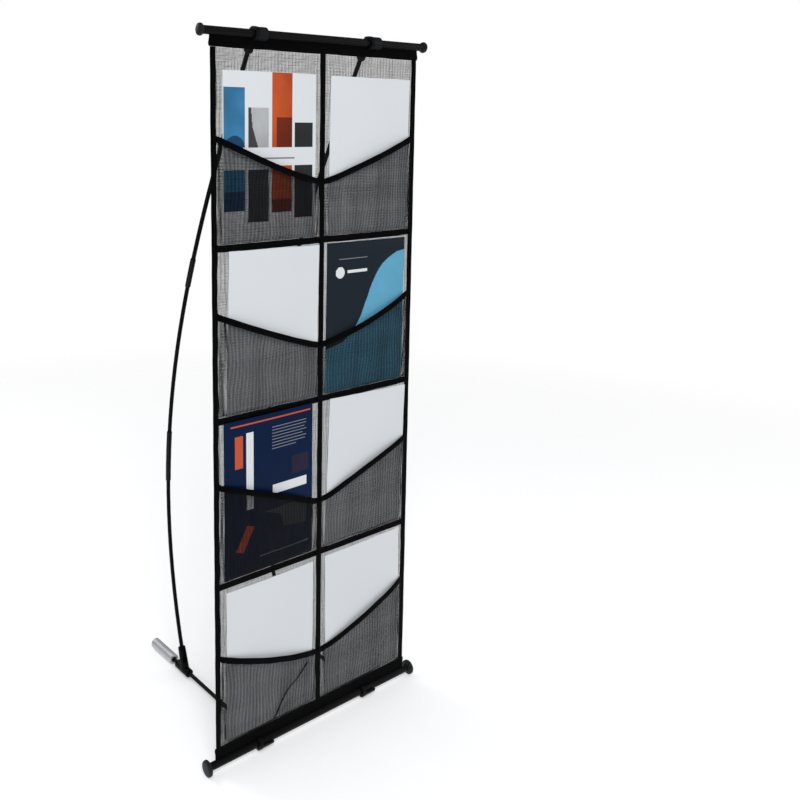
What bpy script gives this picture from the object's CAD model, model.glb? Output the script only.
"""Looks of the hanging-pocket brochure rack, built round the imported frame."""
import math

import bmesh
import bpy
import numpy as np
from mathutils import Matrix, Vector
from mathutils.geometry import tessellate_polygon


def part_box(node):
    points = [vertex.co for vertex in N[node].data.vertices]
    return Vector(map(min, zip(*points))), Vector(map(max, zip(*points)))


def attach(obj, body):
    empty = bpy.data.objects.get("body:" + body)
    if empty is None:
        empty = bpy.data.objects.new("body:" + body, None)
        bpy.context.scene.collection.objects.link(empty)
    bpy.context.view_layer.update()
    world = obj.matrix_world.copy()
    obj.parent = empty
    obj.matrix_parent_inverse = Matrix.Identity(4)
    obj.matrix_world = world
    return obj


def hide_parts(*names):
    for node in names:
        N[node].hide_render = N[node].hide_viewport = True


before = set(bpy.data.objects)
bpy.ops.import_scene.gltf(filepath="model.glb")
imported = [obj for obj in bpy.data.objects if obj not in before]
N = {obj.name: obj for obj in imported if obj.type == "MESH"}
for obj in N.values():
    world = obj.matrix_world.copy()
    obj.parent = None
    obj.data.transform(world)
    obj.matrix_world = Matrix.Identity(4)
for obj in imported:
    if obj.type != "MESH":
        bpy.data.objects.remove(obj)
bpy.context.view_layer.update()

# ------------------------------------------------------------- places, read
net_lo, net_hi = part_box("back_net")
PY = (net_lo.y + net_hi.y) / 2
HALF_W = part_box("side_binding_right")[1].x
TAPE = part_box("centre_binding")[1].x * 2
ROWS = [sum(v.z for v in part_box("row_binding_%d" % i)) / 2 for i in (1, 2, 3)]
BASES = ROWS + [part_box("bottom_hem")[1].z]
Z_LO, Z_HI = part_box("bottom_hem")[1].z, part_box("top_hem")[0].z
TOP_Z = sum(v.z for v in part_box("top_rail")) / 2
BOTTOM_Z = sum(v.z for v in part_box("bottom_rail")) / 2
P_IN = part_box("pocket_1_right")[0].x
P_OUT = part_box("pocket_1_right")[1].x
RIM_TOP = 0.2025                # mouth above its seam at the side tape
RIM_MID = 0.1150                # and at the centre tape
RIM_SAG = 0.0020
# how each mouth has stretched: (bow between its ends, lift of its outer end)
STRETCH = {(0, -1): (-0.0060, 0.0), (0, 1): (0.0005, 0.0), (1, -1): (-0.0020, 0.0020), (1, 1): (-0.0040, -0.0020),
           (2, -1): (0.0050, 0.0020), (2, 1): (0.0070, 0.0010), (3, -1): (-0.0040, -0.0110), (3, 1): (0.0010, 0.0050)}


# ---------------------------------------------------------------- materials
def mat(name):
    m = bpy.data.materials.new(name)
    m.use_nodes = True
    nt = m.node_tree
    b = nt.nodes["Principled BSDF"]
    return m, nt, b


def node(nt, kind, **values):
    n = nt.nodes.new(kind)
    for k, v in values.items():
        if k in n.inputs:
            n.inputs[k].default_value = v
        else:
            setattr(n, k, v)
    return n


def coords(nt, scale=(1, 1, 1), rotation=(0, 0, 0)):
    tc = node(nt, "ShaderNodeTexCoord")
    mp = node(nt, "ShaderNodeMapping")
    mp.inputs["Scale"].default_value = scale
    mp.inputs["Rotation"].default_value = rotation
    nt.links.new(tc.outputs["Object"], mp.inputs["Vector"])
    return mp.outputs["Vector"]


def noise_fac(nt, vec, scale, detail=3.0, rough=0.55):
    n = node(nt, "ShaderNodeTexNoise")
    n.inputs["Scale"].default_value = scale
    n.inputs["Detail"].default_value = detail
    n.inputs["Roughness"].default_value = rough
    nt.links.new(vec, n.inputs["Vector"])
    return n.outputs["Fac"]


def ramp(nt, fac, stops):
    r = node(nt, "ShaderNodeValToRGB")
    e = r.color_ramp.elements
    while len(e) < len(stops):
        e.new(0.5)
    for el, (p, c) in zip(e, stops):
        el.position = p
        el.color = (*c, 1) if len(c) == 3 else c
    nt.links.new(fac, r.inputs["Fac"])
    return r.outputs["Color"]


def mapr(nt, fac, lo, hi, a=0.0, b=1.0):
    m = node(nt, "ShaderNodeMapRange")
    m.inputs["From Min"].default_value = a
    m.inputs["From Max"].default_value = b
    m.inputs["To Min"].default_value = lo
    m.inputs["To Max"].default_value = hi
    nt.links.new(fac, m.inputs["Value"])
    return m.outputs["Result"]


def math_n(nt, op, a, b=None):
    m = node(nt, "ShaderNodeMath")
    m.operation = op
    for i, v in enumerate((a, b)):
        if v is None:
            continue
        if isinstance(v, (int, float)):
            m.inputs[i].default_value = v
        else:
            nt.links.new(v, m.inputs[i])
    return m.outputs[0]


def bump(nt, height, strength, distance, normal=None):
    n = node(nt, "ShaderNodeBump")
    n.inputs["Strength"].default_value = strength
    n.inputs["Distance"].default_value = distance
    nt.links.new(height, n.inputs["Height"])
    if normal is not None:
        nt.links.new(normal, n.inputs["Normal"])
    return n.outputs["Normal"]


def edge_wear(nt, lo=0.52, hi=0.62):
    g = node(nt, "ShaderNodeNewGeometry")
    return mapr(nt, g.outputs["Pointiness"], 0.0, 1.0, lo, hi)


def mix_col(nt, fac, a, b):
    m = node(nt, "ShaderNodeMix")
    m.data_type = "RGBA"
    nt.links.new(fac, m.inputs[0])
    for i, v in ((6, a), (7, b)):
        if isinstance(v, tuple):
            m.inputs[i].default_value = (*v, 1)
        else:
            nt.links.new(v, m.inputs[i])
    return m.outputs[2]


def weave(nt, pitch):
    """Plain weave height from two crossed sines, on whichever faces it falls."""
    tc = node(nt, "ShaderNodeTexCoord")
    sep = node(nt, "ShaderNodeSeparateXYZ")
    nt.links.new(tc.outputs["Object"], sep.inputs[0])
    k = 2 * math.pi / pitch
    sx = math_n(nt, "SINE", math_n(nt, "MULTIPLY", math_n(nt, "ADD", sep.outputs["X"], sep.outputs["Y"]), k))
    sz = math_n(nt, "SINE", math_n(nt, "MULTIPLY", sep.outputs["Z"], k))
    return math_n(nt, "MULTIPLY", sx, sz)


def nylon_material(name, base, light, pitch=0.0011):
    m, nt, b = mat(name)
    vec = coords(nt)
    col = ramp(nt, noise_fac(nt, vec, 60, 4), [(0.3, base), (0.7, light)])
    w = weave(nt, pitch)
    wf = mapr(nt, w, 0.0, 1.0, -1.0, 1.0)
    nt.links.new(mix_col(nt, wf, tuple(0.72 * c for c in base), col), b.inputs["Base Color"])
    nt.links.new(mapr(nt, noise_fac(nt, vec, 900, 2), 0.62, 0.86), b.inputs["Roughness"])
    b.inputs["Specular IOR Level"].default_value = 0.05
    b.inputs["Sheen Weight"].default_value = 0.004
    b.inputs["Sheen Roughness"].default_value = 0.45
    b.inputs["Sheen Tint"].default_value = (0.6, 0.62, 0.66, 1)
    nt.links.new(bump(nt, w, 0.55, 0.00018), b.inputs["Normal"])
    return m


def thread_material(name, a, c, streak=1.0):
    m, nt, b = mat(name)
    vec = coords(nt, (1, 1, 0.04))
    col = ramp(nt, noise_fac(nt, vec, 260, 3), [(0.35, a), (0.68, c)])
    nt.links.new(col, b.inputs["Base Color"])
    b.inputs["Roughness"].default_value = 0.62
    b.inputs["Specular IOR Level"].default_value = 0.10
    b.inputs["Sheen Weight"].default_value = 0.015
    nt.links.new(bump(nt, noise_fac(nt, coords(nt), 5200, 2), 0.3, 0.00006), b.inputs["Normal"])
    return m


def plastic_material(name, base, light, rough=(0.36, 0.5), spec=0.35, grain=2600):
    m, nt, b = mat(name)
    vec = coords(nt)
    col = ramp(nt, noise_fac(nt, vec, 45, 4), [(0.3, base), (0.72, light)])
    wear = edge_wear(nt)
    nt.links.new(mix_col(nt, math_n(nt, "MULTIPLY", wear, 0.45), col, (0.020, 0.021, 0.023)), b.inputs["Base Color"])
    nt.links.new(mapr(nt, noise_fac(nt, vec, 320, 3), *rough), b.inputs["Roughness"])
    b.inputs["Specular IOR Level"].default_value = spec
    nt.links.new(bump(nt, noise_fac(nt, vec, grain, 2), 0.22, 0.00008), b.inputs["Normal"])
    return m


def anodised_material():
    m, nt, b = mat("anodised_black_satin")
    along = coords(nt, (0.03, 1, 1))
    col = ramp(nt, noise_fac(nt, along, 1500, 3), [(0.3, (0.0014, 0.0014, 0.0015)), (0.7, (0.0042, 0.0043, 0.0046))])
    wear = edge_wear(nt, 0.56, 0.66)
    nt.links.new(mix_col(nt, math_n(nt, "MULTIPLY", wear, 0.35), col, (0.016, 0.016, 0.017)), b.inputs["Base Color"])
    b.inputs["Metallic"].default_value = 0.08
    b.inputs["Specular IOR Level"].default_value = 0.07
    nt.links.new(mapr(nt, noise_fac(nt, along, 700, 3), 0.15, 0.25), b.inputs["Roughness"])
    nt.links.new(bump(nt, noise_fac(nt, along, 4200, 2), 0.25, 0.00006), b.inputs["Normal"])
    return m


def steel_material():
    """Turned steel: fine rings round the axis (the legs run along Y)."""
    m, nt, b = mat("turned_steel")
    rings = coords(nt, (0.12, 1, 0.12))
    col = ramp(nt, noise_fac(nt, rings, 900, 3), [(0.3, (0.46, 0.46, 0.49)), (0.7, (0.62, 0.62, 0.65))])
    smudge = noise_fac(nt, coords(nt), 70, 3)
    nt.links.new(mix_col(nt, mapr(nt, smudge, 0.0, 0.35, 0.45, 0.8), col, (0.36, 0.36, 0.38)), b.inputs["Base Color"])
    b.inputs["Metallic"].default_value = 0.48
    nt.links.new(mapr(nt, noise_fac(nt, rings, 1500, 2), 0.40, 0.56), b.inputs["Roughness"])
    b.inputs["Anisotropic"].default_value = 0.35
    nt.links.new(bump(nt, noise_fac(nt, rings, 3500, 2), 0.18, 0.00005), b.inputs["Normal"])
    return m


def pole_material():
    m, nt, b = mat("fibreglass_black")
    vec = coords(nt, (1, 1, 0.05))
    col = ramp(nt, noise_fac(nt, vec, 700, 3), [(0.3, (0.0014, 0.0014, 0.0016)), (0.7, (0.0038, 0.0038, 0.0043))])
    nt.links.new(col, b.inputs["Base Color"])
    nt.links.new(mapr(nt, noise_fac(nt, vec, 300, 3), 0.28, 0.44), b.inputs["Roughness"])
    b.inputs["Specular IOR Level"].default_value = 0.09
    nt.links.new(bump(nt, noise_fac(nt, vec, 2500, 2), 0.15, 0.00005), b.inputs["Normal"])
    return m


NYLON = nylon_material("nylon_tape_black", (0.0012, 0.0012, 0.0014), (0.0026, 0.0026, 0.0029))
HEM = nylon_material("nylon_hem_black", (0.0010, 0.0010, 0.0012), (0.0022, 0.0022, 0.0024), 0.0014)
STITCH = thread_material("stitch_thread", (0.004, 0.004, 0.0045), (0.010, 0.010, 0.011))
THREAD = thread_material("net_thread", (0.0045, 0.0048, 0.0052), (0.011, 0.0115, 0.0125))
THREAD_F = thread_material("net_thread_front", (0.0022, 0.0024, 0.0028), (0.0060, 0.0064, 0.0072))
PLASTIC = plastic_material("moulded_black", (0.0016, 0.0017, 0.0018), (0.0040, 0.0042, 0.0045), (0.34, 0.48), 0.07)
CAP = plastic_material("moulded_cap", (0.0060, 0.0070, 0.0080), (0.0125, 0.0145, 0.0165), (0.38, 0.54), 0.20)
RAIL = anodised_material()
STEEL = steel_material()
POLE = pole_material()
BEAD = plastic_material("bead_white", (0.55, 0.55, 0.53), (0.66, 0.66, 0.64), (0.4, 0.55), 0.5)
CORD = nylon_material("cord_braid", (0.03, 0.03, 0.03), (0.06, 0.06, 0.06), 0.0009)
FERRULE = plastic_material("ferrule_black", (0.0024, 0.0024, 0.0027), (0.0058, 0.0058, 0.0064), (0.25, 0.36), 0.16)


# ------------------------------------------------------------ mesh helpers
def piece(name, verts, faces, material, smooth=True, angle=40.0):
    me = bpy.data.meshes.new(name)
    me.from_pydata([tuple(v) for v in verts], [], faces)
    me.validate()
    me.update()
    bm = bmesh.new()
    bm.from_mesh(me)
    bmesh.ops.recalc_face_normals(bm, faces=bm.faces)
    bm.to_mesh(me)
    bm.free()
    if smooth:
        me.shade_smooth()
        me.set_sharp_from_angle(angle=math.radians(angle))
    o = bpy.data.objects.new(name, me)
    bpy.context.scene.collection.objects.link(o)
    me.materials.append(material)
    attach(o, "root")
    return o


class Soup:
    """Collects closed little solids into one mesh."""

    def __init__(self):
        self.v, self.f = [], []

    def tube(self, rings, closed_ends=True):
        """Rings are equal lists of points round the section."""
        base, n = len(self.v), len(rings[0])
        for r in rings:
            self.v.extend(r)
        for i in range(len(rings) - 1):
            a, b = base + i * n, base + (i + 1) * n
            for k in range(n):
                j = (k + 1) % n
                self.f.append((a + k, a + j, b + j, b + k))
        if closed_ends:
            self.f.append(tuple(base + k for k in range(n)))
            last = base + (len(rings) - 1) * n
            self.f.append(tuple(last + k for k in reversed(range(n))))

    def stitch(self, a, b, out, r):
        """One stitch from a to b, a spindle lying on the cloth."""
        d = (b - a)
        side = d.cross(out).normalized() * r
        up = out * r
        base = len(self.v)
        self.v.append(a - up * 0.9)
        for t in (0.22, 0.78):
            c = a + d * t
            self.v.extend([c + side, c + up * 0.8, c - side, c - up * 0.6])
        self.v.append(b - up * 0.9)
        p, q = base + 1, base + 5
        for k in range(4):
            j = (k + 1) % 4
            self.f.append((base, p + j, p + k))
            self.f.append((p + k, p + j, q + j, q + k))
            self.f.append((base + 9, q + k, q + j))


def rounded_section(w, t, r, n=3):
    """(across, out) points of a rounded flat section, centred."""
    pts = []
    for cx, cy, a0 in ((w / 2 - r, t / 2 - r, 0), (-w / 2 + r, t / 2 - r, 90),
                       (-w / 2 + r, -t / 2 + r, 180), (w / 2 - r, -t / 2 + r, 270)):
        for i in range(n + 1):
            a = math.radians(a0 + 90 * i / n)
            pts.append((cx + r * math.cos(a), cy + r * math.sin(a)))
    return pts


def tape_rings(path, outs, w, t, crown=0.0, wob=None, thin=None):
    """Sections of a tape along path; outs are the outward normals."""
    rings = []
    sec = rounded_section(w, t, min(t * 0.48, w * 0.2))
    for i, (p, o) in enumerate(zip(path, outs)):
        a, b = path[max(i - 1, 0)], path[min(i + 1, len(path) - 1)]
        d = (b - a).normalized()
        across = d.cross(o).normalized()
        k = 1.0 + (wob[i] if wob is not None else 0.0)
        f = thin[i] if thin is not None else 1.0
        rings.append([p + across * (x * k) + o * (y * f + crown * f * (1 - (2 * x / w) ** 2)) for x, y in sec])
    return rings


def stitch_row(soup, path, outs, offset, lift, pitch=0.0036, length=0.0026, r=0.00022):
    """Stitches along a path, offset across it and lifted off its middle."""
    cum = [0.0]
    for a, b in zip(path, path[1:]):
        cum.append(cum[-1] + (b - a).length)
    total = cum[-1]

    def at(s):
        i = min(max(int(np.searchsorted(cum, s)) - 1, 0), len(path) - 2)
        u = (s - cum[i]) / max(cum[i + 1] - cum[i], 1e-9)
        p = path[i].lerp(path[i + 1], u)
        o = outs[i].lerp(outs[i + 1], u).normalized()
        d = (path[i + 1] - path[i]).normalized()
        return p + d.cross(o).normalized() * offset + o * lift, o

    s = pitch * 0.6
    while s + length < total - 0.001:
        (a, oa), (b, _) = at(s), at(s + length)
        soup.stitch(a, b, oa, r)
        s += pitch


rng = np.random.default_rng(226)


def ripple(x, z, seed=0.0):
    return (0.6 * math.sin(2 * math.pi * (x / 0.31 + z / 0.83 + seed))
            + 0.4 * math.sin(2 * math.pi * (x / 0.12 - z / 0.37 + 2.3 * seed)))


# ------------------------------------------------------------------ the nets
PITCH = 0.0020
WIDTH_V, WIDTH_H = 0.00080, 0.00074          # the panel's net
FRONT_V, FRONT_H = 0.00082, 0.00076          # the pockets' denser net
THICK = 0.00022


def strand(soup, pts, width, across_dir, out=Vector((0, -1, 0)), thick=THICK):
    rings = []
    for k, p in enumerate(pts):
        a, o = across_dir * ((width if isinstance(width, float) else width[k]) / 2), out * (thick / 2)
        rings.append([p + a, p + o, p - a, p - o])
    soup.tube(rings)


def gauge(width, i, along, period, swing, scatter):
    """Thread gauge along one thread: heavier ones come round every few picks, in wandering bands."""
    one = 0.06 * math.sin(i / 5.3) + scatter * float(rng.standard_normal())
    ws = []
    for t in along:
        drift = (0.38 * math.sin(t / 0.043 + i * 0.045) + 0.20 * math.sin(t / 0.019 - i * 0.10)
                 + 0.8 * math.sin(i / 37.0 + t * 4.0))
        w = width * (1 + swing * math.sin(2 * math.pi * (i / period + drift)) + one)
        ws.append(min(max(w, 0.40 * width), 1.60 * width))
    return ws


def back_net():
    s = Soup()
    x0, x1 = net_lo.x + 0.0012, net_hi.x - 0.0012
    z0, z1 = Z_LO + 0.0004, Z_HI - 0.0004

    def y_at(x, z):
        edge = min(1.0, (abs(x) and 1.0))
        fade = min(1.0, (HALF_W - abs(x)) / 0.05) * min(1.0, abs(x) / 0.04)
        rowfade = min([1.0] + [abs(z - r) / 0.04 for r in ROWS + [Z_LO, Z_HI]])
        return PY + 0.0006 * ripple(x, z) * fade * rowfade * edge

    nx = int((x1 - x0) / PITCH)
    zs = np.linspace(z0, z1, 45)
    for i in range(nx + 1):
        x = x0 + (x1 - x0) * i / nx
        w = gauge(WIDTH_V, i, zs, 3.7, 0.34, 0.10)
        strand(s, [Vector((x, y_at(x, z) - 0.00008, z)) for z in zs], w, Vector((1, 0, 0)))
    nz = int((z1 - z0) / PITCH)
    xs = np.linspace(x0, x1, 18)
    for i in range(nz + 1):
        z = z0 + (z1 - z0) * i / nz
        w = gauge(WIDTH_H, i, xs, 2.7, 0.24, 0.07)
        strand(s, [Vector((x, y_at(x, z) + 0.00008, z)) for x in xs], w, Vector((0, 0, 1)))
    o = piece("back_net_strands", s.v, s.f, THREAD, smooth=False)
    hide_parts("back_net")


def rim(row, side, x):
    """Height of a pocket's mouth above its seam, |x| from the centre."""
    x = abs(x)
    u = min(1.0, x / HALF_W)
    bow, lift = STRETCH[(row, side)]
    turn = math.sqrt(x * x + 0.012 ** 2) / HALF_W
    h = RIM_MID + (RIM_TOP - RIM_MID) * turn - 0.0022 * math.exp(-(x / 0.08) ** 2) - RIM_SAG * math.sin(math.pi * u)
    return h + bow * math.sin(math.pi * u) * min(1.0, u * 4) + lift * u ** 1.5


def rim_x(row, side, h):
    """Distance from the centre where the mouth reaches height h."""
    if h <= rim(row, side, P_IN):
        return P_IN
    lo, hi = P_IN, P_OUT
    for _ in range(30):
        mid = (lo + hi) / 2
        if rim(row, side, mid) < h:
            lo = mid
        else:
            hi = mid
    return hi


CREASES = {          # per pocket: (x from centre, h) to (x, h), height in metres
    (0, -1): [((0.060, 0.118), (0.190, 0.050), 0.0011)],
    (0, 1): [((0.030, 0.060), (0.200, 0.150), 0.0012)],
    (1, -1): [((0.040, 0.085), (0.215, 0.120), 0.0012)],
    (1, 1): [((0.050, 0.110), (0.170, 0.030), 0.0010)],
    (2, -1): [((0.045, 0.040), (0.200, 0.135), 0.0010)],
    (2, 1): [((0.030, 0.095), (0.150, 0.030), 0.0012)],
    (3, -1): [((0.044, 0.120), (0.072, 0.045), 0.0017), ((0.072, 0.045), (0.125, 0.012), 0.0015)],
    (3, 1): [((0.025, 0.080), (0.090, 0.020), 0.0014), ((0.150, 0.020), (0.215, 0.110), 0.0012)],
}


PLEATS = {           # nets folded over on themselves, as (x from centre, h) along the fold
    (3, -1): ([(0.030, 0.100), (0.0416, 0.0895), (0.0505, 0.0825), (0.0610, 0.0760), (0.0717, 0.0686), (0.0790, 0.0632),
               (0.0860, 0.0570), (0.0925, 0.0497), (0.0985, 0.0412), (0.1035, 0.0335), (0.1075, 0.0265), (0.1125, 0.0165),
               (0.1166, 0.0060)],),
}


def crease(row, side, x, h):
    total = 0.0
    for (ax, ah), (bx, bh), amp in CREASES[(row, side)]:
        dx, dh = bx - ax, bh - ah
        t = max(0.0, min(1.0, ((x - ax) * dx + (h - ah) * dh) / (dx * dx + dh * dh)))
        d = math.hypot(x - ax - t * dx, h - ah - t * dh)
        total += amp * math.exp(-(d / 0.007) ** 2) * math.sin(math.pi * min(1.0, t * 0.9 + 0.08))
    return total


def pocket_out(row, side, x, h, foot):
    """How far the pocket's net stands off the panel."""
    ax = abs(x)
    u = (ax - P_IN) / (P_OUT - P_IN)
    if u <= 0 or u >= 1:
        return 0.0
    shape = math.sin(math.pi * u) ** 0.55
    d = 0.0050 + 0.0098 * max(h, 0.0) / RIM_TOP
    lift = min(1.0, max(0.0, (h - foot) / 0.011))
    lift = lift * lift * (3 - 2 * lift)
    soft = 0.0007 * ripple(x * 1.7, h * 2.1, 0.17 * row + 0.09 * side) * shape
    return (d * shape + soft + crease(row, side, ax, h) * shape) * lift


def pocket_y(row, side, x, h, foot):
    return PY - 0.0013 - pocket_out(row, side, x, h, foot)


def pocket_net(row, side):
    s = Soup()
    base = BASES[row]
    foot = (TAPE / 2 + 0.0004) if row < 3 else 0.0006
    n = int((P_OUT - P_IN) / PITCH)
    for i in range(n + 1):
        x = P_IN + 0.0003 + (P_OUT - P_IN - 0.0006) * i / n
        top = rim(row, side, x) - 0.0012
        hs = np.linspace(foot, top, 24)
        w = gauge(FRONT_V, i, hs, 3.7, 0.44, 0.10)
        strand(s, [Vector((side * x, pocket_y(row, side, x, h, foot) - 0.00008, base + h)) for h in hs],
               w, Vector((1, 0, 0)))
    top = rim(row, side, P_OUT) - 0.0014
    m = int((top - foot) / PITCH)
    for i in range(m + 1):
        h = foot + (top - foot) * i / m
        a = rim_x(row, side, h + 0.0012)
        if P_OUT - a < 0.006:
            continue
        cnt = max(4, int((P_OUT - a) / 0.0085))
        us = np.linspace(0, 1, cnt + 1)
        us = us if a > P_IN + 1e-4 else 0.5 - 0.5 * np.cos(np.pi * us)
        along = [float(a + (P_OUT - 0.0003 - a) * u) for u in us]
        w = gauge(FRONT_H, i, along, 2.7, 0.26, 0.06)
        strand(s, [Vector((side * x, pocket_y(row, side, x, h, foot) + 0.00008, base + h)) for x in along],
               w, Vector((0, 0, 1)))
    for pleat in PLEATS.get((row, side), ()):
        pts = [Vector((side * x, pocket_y(row, side, x, h, foot) - 0.00045, base + h)) for x, h in pleat]
        for k in (-1.0, -0.7, -0.45, -0.2, 0.0, 0.25, 0.6, 1.0):
            strand(s, [q + Vector((k * 0.0027, -0.00020 * (1 - abs(k)), 0)) for q in pts], 0.00074, Vector((1, 0, 0)))
    word = "left" if side < 0 else "right"
    o = piece("pocket_net_%d_%s" % (row + 1, word), s.v, s.f, THREAD_F, smooth=False)
    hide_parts("pocket_%d_%s" % (row + 1, word))


back_net()
for r in range(4):
    for sd in (-1, 1):
        pocket_net(r, sd)

# --------------------------------------------------------- tapes and seams
thread_soup = Soup()
FRONT, BACK = Vector((0, -1, 0)), Vector((0, 1, 0))


def side_binding(side):
    """Tape folded over the panel's edge and sewn through."""
    word = "left" if side < 0 else "right"
    lo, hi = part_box("side_binding_" + word)
    w = hi.x - lo.x
    s = Soup()
    n = 150
    out_x = HALF_W
    in_x = HALF_W - w
    rings = []
    for i in range(n + 1):
        z = Z_LO + 0.0003 + (Z_HI - Z_LO - 0.0006) * i / n
        wob = 0.00035 * math.sin(z * 43.0 + side) + 0.00025 * math.sin(z * 117.0 + 1.3)
        neck = 0.0
        d = min(z - Z_LO, Z_HI - z)
        neck = 0.0004 * math.exp(-d / 0.03)
        pts = []
        a = out_x + wob * 0.5 - neck
        b = in_x + wob
        t, g = 0.0021, 0.0007
        # the outer face, round the fold, then back along the inner face
        fold = 0.0018
        outer = [(b, -t), (b + 0.0012, -t - 0.00012), ((a + b) / 2, -t - 0.0002), (a - fold, -t)]
        outer += [(a - fold + fold * math.sin(q), -t * math.cos(q)) for q in (0.5, 1.05, 1.5708, 2.09, 2.64)]
        outer += [(a - fold, t), ((a + b) / 2, t + 0.0002), (b + 0.0012, t + 0.00012), (b, t)]
        inner = [(b, g), (a - fold - 0.0004, g), (a - fold + 0.0002, 0.0), (a - fold - 0.0004, -g), (b, -g)]
        for x, y in outer + inner:
            pts.append(Vector((side * x, PY + y, z)))
        rings.append(pts)
    s.tube(rings)
    o = piece("side_tape_" + word, s.v, s.f, NYLON, angle=50)
    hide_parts("side_binding_" + word)
    zs = np.linspace(Z_LO + 0.001, Z_HI - 0.001, 60)
    for out, y in ((FRONT, -0.0022), (BACK, 0.0022)):
        path = [Vector((side * (in_x + 0.0022 + 0.00035 * math.sin(z * 43.0 + side)), PY + y, z)) for z in zs]
        stitch_row(thread_soup, path, [out] * len(path), 0.0, 0.00005)


def flat_tape(name, replaced, path, outs, w, t, rows=2):
    s = Soup()
    wob = [0.018 * math.sin(i * 0.9) + 0.012 * math.sin(i * 2.3 + 1) for i in range(len(path))]
    s.tube(tape_rings(path, outs, w, t, 0.00012, wob))
    o = piece(name, s.v, s.f, NYLON, angle=50)
    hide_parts(replaced)
    offs = (w / 2 - 0.0018, -w / 2 + 0.0018) if rows == 2 else (-w / 2 + 0.0018,)
    for off in offs:
        stitch_row(thread_soup, path, outs, off, t / 2 + 0.0001)


for sd in (-1, 1):
    side_binding(sd)

lo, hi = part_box("centre_binding")
zs = np.linspace(lo.z, hi.z, 160)
yc = (lo.y + hi.y) / 2
flat_tape("centre_tape", "centre_binding",
          [Vector((0.00025 * math.sin(z * 31), yc, z)) for z in zs], [FRONT] * len(zs),
          TAPE + 0.0020, hi.y - lo.y)
for i in range(3):
    lo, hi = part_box("row_binding_%d" % (i + 1))
    xs = np.linspace(lo.x, hi.x, 70)
    yc, zc = (lo.y + hi.y) / 2, (lo.z + hi.z) / 2
    # the weight of the pockets draws each seam down a little between its ends
    path = [Vector((x, yc, zc - 0.0007 * (1 - (2 * abs(abs(x) - 0.12) / 0.24) ** 2) + 0.00015 * math.sin(x * 90)))
            for x in xs]
    flat_tape("row_tape_%d" % (i + 1), "row_binding_%d" % (i + 1), path, [FRONT] * len(path),
              hi.z - lo.z + 0.0020, hi.y - lo.y)


def rim_tape(row):
    """Folded tape over the mouths of a row's two pockets."""
    lo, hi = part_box("rim_binding_%d" % (row + 1))
    base = BASES[row]
    foot = TAPE / 2
    xs = []
    us = np.linspace(0, 1, 46)
    for u in us:
        xs.append(P_IN + (P_OUT - P_IN) * (0.5 - 0.5 * math.cos(math.pi * u)) * 0.5
                  + (P_OUT - P_IN) * u * 0.5)
    half = [0.0, 0.003] + [x for x in xs] + [P_OUT + 0.0025, P_OUT + 0.0050]
    allx = [-x for x in reversed(half[1:])] + half
    path, outs, thin = [], [], []
    w = 0.0116
    for x in allx:
        side = -1 if x < 0 else 1
        h = rim(row, side, x) - w / 2
        y = pocket_y(row, side, x, h, foot)
        over = max(0.0, 1 - abs(x) / 0.016)
        y = min(y - 0.0003, PY - 0.0048 * (over ** 0.35)) if over > 0 else y - 0.0003
        y = y - 0.0003 * math.sin(math.pi * min(1.0, abs(x) / HALF_W))
        tuck = min(1.0, max(0.0, (abs(x) - (P_OUT - 0.0015)) / 0.0015))     # under the side tape
        y = y + (PY - 0.00135 - y) * tuck
        path.append(Vector((x, y, base + h)))
        thin.append(1.0 - 0.55 * tuck)
    for i, p in enumerate(path):
        a, b = path[max(i - 1, 0)], path[min(i + 1, len(path) - 1)]
        d = b - a
        flat = Vector((-d.y, d.x, 0)).normalized() * -1
        if flat.y > 0:
            flat = -flat
        outs.append(Vector((flat.x, flat.y, 0.12)).normalized())
    # soften the turn at the centre seam
    for _ in range(3):
        outs = [(outs[max(i - 1, 0)] + outs[i] * 2 + outs[min(i + 1, len(outs) - 1)]).normalized()
                for i in range(len(outs))]
    s = Soup()
    wob = [0.02 * math.sin(i * 0.7 + row) for i in range(len(path))]
    s.tube(tape_rings(path, outs, w, 0.0021, 0.0002, wob, thin))
    o = piece("rim_tape_%d" % (row + 1), s.v, s.f, NYLON, angle=50)
    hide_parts("rim_binding_%d" % (row + 1))
    probe = (path[1] - path[0]).normalized().cross(outs[0])
    sign = -1 if probe.z > 0 else 1
    inner = slice(3, len(path) - 3)
    stitch_row(thread_soup, path[inner], outs[inner], sign * (w / 2 - 0.0019), 0.00112)


for r in range(4):
    rim_tape(r)


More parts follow.
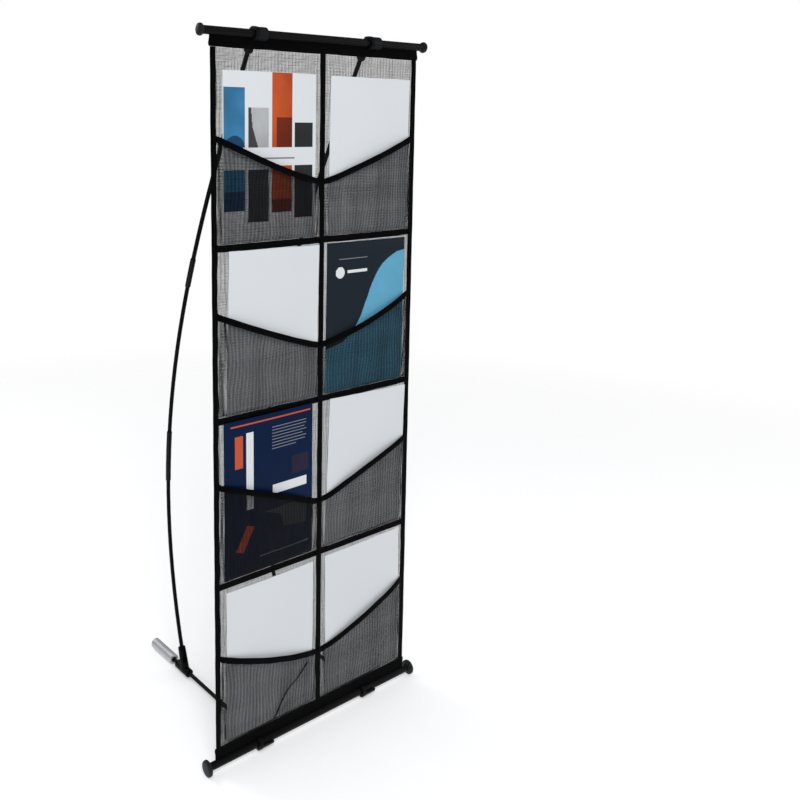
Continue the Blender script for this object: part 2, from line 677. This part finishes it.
def hem(name, node_name, up, edge, rail_z):
    """Sewn hem: loop round the bead in the rail, neck, and a padded band."""
    lo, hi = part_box(node_name)
    half = hi.x
    c = rail_z - up * 0.0046
    neck_y = 0.00055
    n_loop = 14
    start = math.degrees(math.asin(neck_y / 0.00185))
    loop = []
    for i in range(n_loop + 1):
        a = math.radians(-90 + start + (360 - 2 * start) * i / n_loop)
        loop.append((0.00185 * math.cos(a), c + up * 0.00185 * math.sin(a), 0.0))
    z_neck = rail_z - up * 0.0082
    length = abs(z_neck - edge)
    left, right = [], []
    for k in range(9):
        t = k / 8
        z = z_neck - up * length * t
        fat = 0.0006 + 0.00105 * math.sin(math.pi * min(1.0, t * 1.02 + 0.03)) ** 0.6
        if t > 0.8:
            fat = 0.0009 + 0.0002 * (t - 0.8)
        left.append((-fat, z, 1.0))
        right.append((fat, z, 1.0))
    outer = loop + left + [(-0.0005, edge - up * 0.0001, 1.0), (0.0005, edge - up * 0.0001, 1.0)] + right[::-1]
    hole = [(0.00142 * math.cos(2 * math.pi * i / 12), c + 0.00142 * math.sin(2 * math.pi * i / 12), 0.0)
            for i in range(12)]
    verts, faces = [], []
    xs = np.linspace(-half, half, 140)
    no, nh = len(outer), len(hole)
    clips = [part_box(k) for k in (("pole_swivel_left", "pole_swivel_right") if up > 0 else
                                 ("leg_swivel_left", "leg_swivel_right"))]
    for i, x in enumerate(xs):
        e = min(i, len(xs) - 1 - i)
        shut = 1.0 if e > 1 else (0.62, 0.9)[e]
        pull = 0.00016 * math.sin(x * 150.0) + 0.00022 * math.sin(x * 61.0 + up)
        held = max(min(1.0, max(0.0, 1 - (abs(x - (a.x + b.x) / 2) - (b.x - a.x) / 2 - 0.004) / 0.012)) for a, b in clips)
        for y, z, soft in outer + hole:
            flat = held * min(1.0, max(0.0, (0.0215 - abs(z - rail_z)) / 0.005)) * soft     # squeezed by the clips
            yy = y * (shut if soft else 1.0)
            yy = yy + (math.copysign(min(abs(yy), 0.00060), yy) - yy) * flat + pull * soft * (1 - flat)
            zz = z
            low = max(0.0, 1 - abs(abs(z - edge) - 0.005) / 0.008) * soft     # the corner stands out a little
            xx = x + (0.0019, 0.0012, 0.0004)[e] * low * (-1 if i < 3 else 1) if e < 3 else x
            if soft and abs(z - edge) < 0.004:
                zz = z + 0.00035 * math.sin(x * 47.0 + 0.7) * up * 0.6
            verts.append((xx, PY + yy, zz))
    n = no + nh
    for i in range(len(xs) - 1):
        a, b = i * n, (i + 1) * n
        for k in range(no):
            j = (k + 1) % no
            faces.append((a + k, a + j, b + j, b + k))
        for k in range(nh):
            j = (k + 1) % nh
            faces.append((a + no + k, b + no + k, b + no + j, a + no + j))
    tris = tessellate_polygon([[Vector((y, z, 0)) for y, z, _ in outer], [Vector((y, z, 0)) for y, z, _ in hole]])
    last = (len(xs) - 1) * n
    for t in tris:
        faces.append(tuple(t))
        faces.append(tuple(last + k for k in reversed(t)))
    o = piece(name, verts, faces, HEM, angle=45)
    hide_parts(node_name)
    px = np.linspace(-half + 0.002, half - 0.002, 60)
    for out, y in ((FRONT, -0.00125), (BACK, 0.00125)):
        path = [Vector((x, PY + y + 0.00016 * math.sin(x * 150.0) + 0.00022 * math.sin(x * 61.0 + up),
                        edge + up * 0.0030)) for x in px]
        stitch_row(thread_soup, path, [out] * len(path), 0.0, 0.0, 0.0036, 0.0026, 0.00024)


hem("top_hem_band", "top_hem", 1, Z_HI, TOP_Z)
hem("bottom_hem_band", "bottom_hem", -1, Z_LO, BOTTOM_Z)
stitches = piece("seam_stitches", thread_soup.v, thread_soup.f, STITCH, smooth=False)


# -------------------------------------------------- hard parts, carried over
def dress(name, material, bevel=0.0003, angle=34, segments=2, subd=0):
    o = N[name]
    me = o.data
    a = me.attributes.get("custom_normal")
    if a is not None:
        me.attributes.remove(a)
    for p in me.polygons:
        p.use_smooth = True
    if not me.materials:
        me.materials.append(material)
    for i in range(len(me.materials)):
        me.materials[i] = material
    w = o.modifiers.new("weld", "WELD")
    w.merge_threshold = 1e-5
    if bevel:
        b = o.modifiers.new("edge", "BEVEL")
        b.width = bevel
        b.segments = segments
        b.limit_method = "ANGLE"
        b.angle_limit = math.radians(angle)
        b.use_clamp_overlap = True
        b.miter_outer = "MITER_ARC"
    e = o.modifiers.new("normals", "WEIGHTED_NORMAL")
    e.keep_sharp = True
    return o


for n in ("top_rail", "bottom_rail"):
    dress(n, RAIL, 0.0)
    for p in N[n].data.polygons:
        p.use_smooth = False
for word in ("left", "right"):
    dress("top_cap_" + word, CAP, 0.0)
    dress("foot_disc_" + word, CAP, 0.0)
    for n in ("top_collar_", "bottom_collar_"):
        dress(n + word, PLASTIC, 0.00045)
    for n in ("pole_swivel_", "leg_swivel_", "y_connector_"):
        dress(n + word, PLASTIC, 0.0004)
    for n in ("pole_upper_", "pole_middle_", "pole_lower_"):
        dress(n + word, POLE, 0.0)
    for n in ("ferrule_upper_", "ferrule_lower_"):
        dress(n + word, FERRULE, 0.0)
    dress("leg_rod_" + word, POLE, 0.0)
    dress("counterweight_" + word, STEEL, 0.0)
    dress("shock_cord_" + word, CORD, 0.0)
for n in ("top_bead_rod", "bottom_bead_rod"):
    dress(n, BEAD, 0.0)


# ------------------------------------------------- stage: sheets in pockets
def flat_material(name, colour, rough=0.45, var=0.06):
    m, nt, b = mat(name)
    vec = coords(nt)
    dark = tuple(c * (1 - var) for c in colour)
    nt.links.new(ramp(nt, noise_fac(nt, vec, 8, 3), [(0.3, dark), (0.7, colour)]), b.inputs["Base Color"])
    b.inputs["Roughness"].default_value = rough
    b.inputs["Specular IOR Level"].default_value = 0.08
    return m


PAPER = flat_material("prop_paper", (0.62, 0.645, 0.665), 0.5, 0.02)
PAPER_B = flat_material("prop_paper_back", (0.60, 0.61, 0.63), 0.5, 0.02)
INK = {
    "blue": flat_material("prop_blue", (0.045, 0.20, 0.38), 0.35, 0.6),
    "deep": flat_material("prop_deep_blue", (0.012, 0.055, 0.13), 0.35, 0.5),
    "orange": flat_material("prop_orange", (0.52, 0.085, 0.022), 0.35, 0.75),
    "brown": flat_material("prop_brown", (0.16, 0.022, 0.008), 0.35, 0.6),
    "grey": flat_material("prop_grey", (0.055, 0.057, 0.060), 0.35, 0.6),
    "silver": flat_material("prop_silver", (0.42, 0.43, 0.44), 0.35, 0.5),
    "dark": flat_material("prop_dark", (0.030, 0.031, 0.034), 0.35, 0.5),
    "slate": flat_material("prop_slate", (0.013, 0.019, 0.027), 0.3, 0.1),
    "sky": flat_material("prop_sky", (0.115, 0.36, 0.53), 0.3, 0.15),
    "navy": flat_material("prop_navy", (0.0012, 0.0105, 0.044), 0.3, 0.15),
    "rust": flat_material("prop_rust", (0.50, 0.085, 0.035), 0.3, 0.1),
    "plum": flat_material("prop_plum", (0.020, 0.016, 0.038), 0.3, 0.2),
    "mist": flat_material("prop_mist", (0.065, 0.075, 0.085), 0.3, 0.3),
    "light": flat_material("prop_light", (0.66, 0.68, 0.70), 0.3, 0.05),
    "line": flat_material("prop_line", (0.20, 0.21, 0.23), 0.3, 0.1),
}
A4 = (0.210, 0.3035)


def inside(poly, us, vs):
    """Which points of a grid lie in a polygon."""
    hit = np.zeros(us.shape, dtype=bool)
    for (u1, v1), (u2, v2) in zip(poly, poly[1:] + poly[:1]):
        if v1 != v2:
            hit ^= ((v1 > vs) != (v2 > vs)) & (us < (u2 - u1) * (vs - v1) / (v2 - v1) + u1)
    return hit


def sheet(name, row, cx, z0, tall, tilt, material, art=(), thick=0.0012):
    """A stack of A4 leaves standing in a pocket, bowed a little and held back by the net at its foot."""
    nu, nv = (140, 202) if art else (42, 60)
    c, sn = math.cos(math.radians(tilt)), math.sin(math.radians(tilt))
    foot = (TAPE / 2 + 0.0004) if row < 3 else 0.0006
    front, back = [], []
    for j in range(nv + 1):
        for i in range(nu + 1):
            u, v = i / nu, j / nv
            lx, lz = (u - 0.5) * A4[0], v * tall
            x, z = cx + lx * c + lz * sn, z0 - lx * sn + lz * c
            y = PY - 0.0030 - 0.0012 * math.sin(math.pi * u) - 0.0010 * v * v
            h = z - BASES[row]
            if h < 0.05:
                side = -1 if x < 0 else 1
                y = max(y, pocket_y(row, side, abs(x), max(h, foot), foot) + 0.0007)
            y = min(y, PY - 0.0006)
            front.append((x, y, z))
            back.append((x, min(y + thick, PY - 0.0002), z))
    n = len(front)
    w = nu + 1
    faces, inks = [], []
    gu, gv = np.meshgrid((np.arange(nu) + 0.5) / nu, (np.arange(nv) + 0.5) / nv)
    which = np.zeros(gu.shape, dtype=int)
    used = []
    for ink, poly in art:
        if ink not in used:
            used.append(ink)
        which[inside(poly, gu, gv)] = 1 + used.index(ink)
    for j in range(nv):
        for i in range(nu):
            k = j * w + i
            faces.append((k, k + 1, k + 1 + w, k + w))
            inks.append(int(which[j, i]))
    for j in range(nv):
        for i in range(nu):
            k = n + j * w + i
            faces.append((k, k + w, k + 1 + w, k + 1))
            inks.append(0)
    loop = ([i for i in range(nu)] + [j * w + nu for j in range(nv)] + [nv * w + i for i in range(nu, 0, -1)]
            + [j * w for j in range(nv, 0, -1)])
    for k, q in zip(loop, loop[1:] + loop[:1]):
        faces.append((k, k + n, q + n, q))
        inks.append(0)
    me = bpy.data.meshes.new(name)
    me.from_pydata(front + back, [], faces)
    me.materials.append(material)
    for ink in used:
        me.materials.append(INK[ink])
    me.polygons.foreach_set("material_index", inks)
    me.update()
    o = bpy.data.objects.new(name, me)
    bpy.context.scene.collection.objects.link(o)
    return o


def rect(u0, v0, u1, v1):
    return [(u0, v0), (u1, v0), (u1, v1), (u0, v1)]


def disc(cu, cv, r, a0, a1, n=24, aspect=A4[0] / A4[1]):
    return [(cu + r * math.cos(math.radians(a0 + (a1 - a0) * i / n)),
             cv + r * aspect * math.sin(math.radians(a0 + (a1 - a0) * i / n))) for i in range(n + 1)]


ART_BLOCKS = [("blue", rect(0.005, 0.56, 0.225, 0.905)), ("deep", disc(0.12, 0.56, 0.10, 0, 180)),
              ("silver", rect(0.255, 0.56, 0.475, 0.79)), ("grey", [(0.255, 0.56), (0.36, 0.56), (0.30, 0.68), (0.285, 0.79), (0.255, 0.79)]),
              ("orange", rect(0.505, 0.56, 0.73, 0.998)), ("brown", rect(0.555, 0.56, 0.73, 0.74)),
              ("dark", rect(0.76, 0.56, 0.965, 0.71)), ("line", rect(0.30, 0.492, 0.76, 0.502)),
              ("blue", rect(0.005, 0.19, 0.225, 0.43)), ("deep", rect(0.005, 0.19, 0.225, 0.30)), ("grey", rect(0.255, 0.12, 0.475, 0.43)),
              ("orange", rect(0.505, 0.17, 0.73, 0.45)), ("brown", rect(0.505, 0.17, 0.73, 0.25)), ("dark", rect(0.76, 0.13, 0.965, 0.45))]
ART_CURVE = [("sky", [(0.0, 0.0), (1.0, 0.0), (1.0, 0.915), (0.90, 0.905), (0.80, 0.875), (0.71, 0.835), (0.64, 0.785),
                      (0.59, 0.73), (0.55, 0.68), (0.515, 0.62), (0.47, 0.555), (0.43, 0.49), (0.38, 0.44),
                      (0.30, 0.38), (0.20, 0.33), (0.0, 0.30)]),
             ("light", disc(0.16, 0.80, 0.055, 0, 360)), ("light", rect(0.25, 0.79, 0.50, 0.81)),
             ("line", rect(0.14, 0.885, 0.50, 0.893))]
ART_NAVY = [("rust", rect(0.07, 0.958, 0.97, 0.970)),
            ("light", rect(0.235, 0.42, 0.315, 0.91)), ("rust", rect(0.115, 0.70, 0.20, 0.90)),
            ("line", rect(0.52, 0.905, 0.92, 0.913)), ("line", rect(0.52, 0.885, 0.92, 0.893)),
            ("line", rect(0.52, 0.865, 0.90, 0.873)), ("line", rect(0.52, 0.845, 0.92, 0.853)),
            ("line", rect(0.52, 0.825, 0.88, 0.833)), ("line", rect(0.52, 0.805, 0.92, 0.813)),
            ("line", rect(0.52, 0.785, 0.91, 0.793)), ("line", rect(0.52, 0.765, 0.80, 0.773)),
            ("plum", rect(0.75, 0.57, 0.95, 0.69)), ("light", rect(0.53, 0.475, 0.93, 0.535)),
            ("rust", [(0.12, 0.17), (0.20, 0.15), (0.32, 0.30), (0.24, 0.32)]),
            ("mist", [(0.44, 0.375), (0.93, 0.385), (0.93, 0.22), (0.66, 0.24), (0.62, 0.33)]),
            ("line", rect(0.38, 0.09, 0.95, 0.10))]


def standing(name, row, cx, top, tilt, material, art=()):
    low = 0.0074 if row < 3 else 0.0036
    sheet(name, row, cx, BASES[row] + low, top - low, tilt, material, art)


standing("prop_1_left", 0, -0.1220, 0.3108, 0.0, PAPER, ART_BLOCKS)
standing("prop_1_right", 0, 0.1225, 0.3095, 0.4, PAPER)
standing("prop_2_left", 1, -0.1155, 0.3095, 0.9, PAPER)
standing("prop_2_right", 1, 0.1182, 0.3080, 0.3, INK["slate"], ART_CURVE)
standing("prop_3_left", 2, -0.1232, 0.3162, -0.3, INK["navy"], ART_NAVY)
standing("prop_3_right", 2, 0.1215, 0.3130, 1.7, PAPER)
standing("prop_4_left", 3, -0.1205, 0.3110, 0.0, PAPER)
standing("prop_4_right", 3, 0.1272, 0.3150, -1.1, PAPER)

# --------------------------------------------------------- stage: the floor
bm = bmesh.new()
bmesh.ops.create_circle(bm, cap_ends=True, radius=9.0, segments=96)
me = bpy.data.meshes.new("floor")
bm.to_mesh(me)
bm.free()
floor = bpy.data.objects.new("floor", me)
floor.location = (0, 0, -0.0002)
bpy.context.scene.collection.objects.link(floor)
m, nt, b = mat("floor_pale")
b.inputs["Base Color"].default_value = (0.90, 0.90, 0.905, 1)
b.inputs["Roughness"].default_value = 0.75
b.inputs["Specular IOR Level"].default_value = 0.1
b.inputs["Emission Color"].default_value = (1, 1, 1, 1)
b.inputs["Emission Strength"].default_value = 0.24
tc = node(nt, "ShaderNodeTexCoord")
ln = node(nt, "ShaderNodeVectorMath")
ln.operation = "LENGTH"
nt.links.new(tc.outputs["Object"], ln.inputs[0])
fade = mapr(nt, ln.outputs["Value"], 0.0, 1.0, 1.0, 3.2)
tr = node(nt, "ShaderNodeBsdfTransparent")
mx = node(nt, "ShaderNodeMixShader")
nt.links.new(fade, mx.inputs[0])
nt.links.new(b.outputs[0], mx.inputs[1])
nt.links.new(tr.outputs[0], mx.inputs[2])
nt.links.new(mx.outputs[0], nt.nodes["Material Output"].inputs["Surface"])
me.materials.append(m)

# ----------------------------------------------------------- light, camera
world = bpy.data.worlds.new("studio")
bpy.context.scene.world = world
world.use_nodes = True
wt = world.node_tree
bg = wt.nodes["Background"]
bg.inputs["Color"].default_value = (0.97, 0.98, 1.0, 1)
bg.inputs["Strength"].default_value = 0.56
white = wt.nodes.new("ShaderNodeBackground")
white.inputs["Color"].default_value = (1, 1, 1, 1)
white.inputs["Strength"].default_value = 1.0
lp = wt.nodes.new("ShaderNodeLightPath")
wm = wt.nodes.new("ShaderNodeMixShader")
dim = wt.nodes.new("ShaderNodeBackground")          # what a shiny surface sees round it: a darker room
dim.inputs["Color"].default_value = (0.9, 0.95, 1.0, 1)
dim.inputs["Strength"].default_value = 0.14
gm = wt.nodes.new("ShaderNodeMixShader")
wt.links.new(lp.outputs["Is Glossy Ray"], gm.inputs[0])
wt.links.new(bg.outputs[0], gm.inputs[1])
wt.links.new(dim.outputs[0], gm.inputs[2])
wt.links.new(lp.outputs["Is Camera Ray"], wm.inputs[0])
wt.links.new(gm.outputs[0], wm.inputs[1])
wt.links.new(white.outputs[0], wm.inputs[2])
wt.links.new(wm.outputs[0], wt.nodes["World Output"].inputs["Surface"])


def area(name, loc, target, size, power, colour=(1, 1, 1)):
    l = bpy.data.lights.new(name, "AREA")
    l.shape = "DISK"
    l.size = size
    l.energy = power
    l.color = colour
    o = bpy.data.objects.new(name, l)
    o.location = loc
    o.rotation_mode = "QUATERNION"
    o.rotation_quaternion = (Vector(target) - Vector(loc)).to_track_quat("-Z", "Y")
    bpy.context.scene.collection.objects.link(o)
    return o


key = area("key", (-1.4, -2.3, 2.9), (0, 0, 0.9), 1.5, 58)
area("fill", (2.4, -1.8, 1.6), (0, 0, 0.7), 2.0, 14)
area("back", (-0.8, 2.4, 2.2), (0, 0, 0.8), 1.4, 20)
key.visible_glossy = False          # no broad sheen on the black rails

cam_data = bpy.data.cameras.new("camera")
cam = bpy.data.objects.new("camera", cam_data)
bpy.context.scene.collection.objects.link(cam)
bpy.context.scene.camera = cam
cam_data.sensor_width = 36
cam_data.lens = 39.42
cam_data.clip_start, cam_data.clip_end = 0.05, 60
YAW, PITCH_DOWN = math.radians(36.70), math.radians(-8.208)
fwd = Vector((math.sin(YAW) * math.cos(PITCH_DOWN), math.cos(YAW) * math.cos(PITCH_DOWN), math.sin(PITCH_DOWN)))
right = Vector((math.cos(YAW), -math.sin(YAW), 0))
up = right.cross(fwd)
cam.matrix_world = Matrix(((right.x, up.x, -fwd.x, -1.0846), (right.y, up.y, -fwd.y, -1.2826 + PY),
                           (right.z, up.z, -fwd.z, 1.2142), (0, 0, 0, 1)))
SHIFT_X, SHIFT_Y = 0.16625, -0.175
CAM_X = cam.location.x


def shift_driver(prop, value):
    """The lens shift belongs to this viewpoint only: it fades to nothing as
    soon as the camera stands anywhere else."""
    fc = cam_data.driver_add(prop)
    fc.driver.type = "SUM"
    var = fc.driver.variables.new()
    var.name = "x"
    var.type = "TRANSFORMS"
    var.targets[0].id = cam
    var.targets[0].transform_type = "LOC_X"
    var.targets[0].transform_space = "WORLD_SPACE"
    for mod in list(fc.modifiers):
        fc.modifiers.remove(mod)
    while len(fc.keyframe_points):
        fc.keyframe_points.remove(fc.keyframe_points[0])
    for px, v in ((CAM_X - 0.034, 0.0), (CAM_X - 0.016, value), (CAM_X + 0.016, value), (CAM_X + 0.034, 0.0)):
        k = fc.keyframe_points.insert(px, v)
        k.interpolation = "LINEAR"
    fc.extrapolation = "CONSTANT"


shift_driver("shift_x", SHIFT_X)
shift_driver("shift_y", SHIFT_Y)

sc = bpy.context.scene
sc.view_settings.view_transform = "Standard"
sc.view_settings.look = "None"

bpy.context.view_layer.update()
